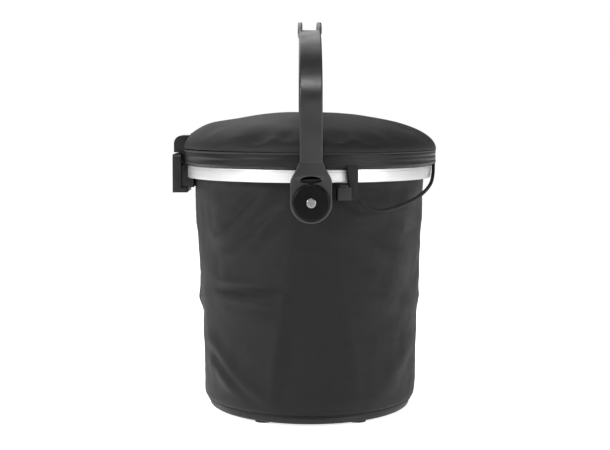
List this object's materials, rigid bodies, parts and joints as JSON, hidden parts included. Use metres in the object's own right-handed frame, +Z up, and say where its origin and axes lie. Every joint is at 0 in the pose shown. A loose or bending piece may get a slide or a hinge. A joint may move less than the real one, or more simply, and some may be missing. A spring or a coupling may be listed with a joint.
{
  "type": "handlebar basket",
  "caption": "Oval fabric basket for a bicycle handlebar, with a metal rim, a folding bow handle, a rear mounting plate and a fabric cover closed by a drawcord.",
  "frame": {"origin": "centre of the oval, in the plane of the feet's undersides", "axes": "+Z up; +X forward, away from the handlebar, with the mounting plate on the -X side; Y along the oval's long axis, which is the handle's pivot direction"},
  "size_m": [0.2622, 0.3692, 0.382],
  "materials": {
    "bag_fabric": "matte woven polyester",
    "cover_fabric": "coated polyester, slightly shiny",
    "webbing": "ribbed webbing",
    "cord": "braided elastic cord",
    "black_plastic": "fine-textured black",
    "gloss_black_plastic": "smooth black",
    "board": "black stiffening board",
    "bead_plastic": "soft round bead",
    "foot_rubber": "black rubber",
    "brushed_aluminium": "finely brushed, clear anodised",
    "plated_steel": "zinc plated",
    "spring_steel": "plain wire"
  },
  "bodies": {
    "frame": {"bag_bead": "bead_plastic", "bag_body": "bag_fabric", "base_board": "board", "base_feet": "foot_rubber", "base_screws": "plated_steel", "base_tray": "black_plastic", "bracket_screws": "plated_steel", "hub_cap_far": "gloss_black_plastic", "hub_cap_near": "gloss_black_plastic", "hub_nut_far": "plated_steel", "hub_nut_near": "plated_steel", "hub_screw_far": "plated_steel", "hub_screw_near": "plated_steel", "hub_washer_far": "gloss_black_plastic", "hub_washer_near": "gloss_black_plastic", "mount_clamp": "black_plastic", "mount_plate": "black_plastic", "mount_screws": "plated_steel", "nut_bar_far": "plated_steel", "nut_bar_near": "plated_steel", "pivot_bracket_far": "black_plastic", "pivot_bracket_near": "black_plastic", "rail_splice": "plated_steel", "rim_rail": "brushed_aluminium"},
    "handle": {"handle_bow": "gloss_black_plastic"},
    "cover": {"lid_band": "cover_fabric", "hem_cord": "cord", "lid_piping": "cover_fabric", "lid_dome": "cover_fabric", "lid_gusset": "cover_fabric", "draw_cord": "cord", "stopper_body": "black_plastic", "stopper_spring": "spring_steel", "cord_tab": "webbing"},
    "stopper_button": {"stopper_button": "black_plastic"}
  },
  "joints": [
    {"name": "handle_fold", "type": "hinge", "parent": "frame", "child": "handle", "pos_m": [0, 0, 0.2103], "axis": [0, 1, 0], "range_deg": [-90, 90]},
    {"name": "cover_lift", "type": "slide", "parent": "frame", "child": "cover", "axis": [0, 0, 1], "range_m": [0, 0.04]},
    {"name": "stopper_press", "type": "slide", "parent": "cover", "child": "stopper_button", "axis": [0, 0, -1], "range_m": [0, 0.002], "stiffness_N_per_m": 1000, "springref_m": -0.001, "deforming": ["stopper_spring"]}
  ]
}
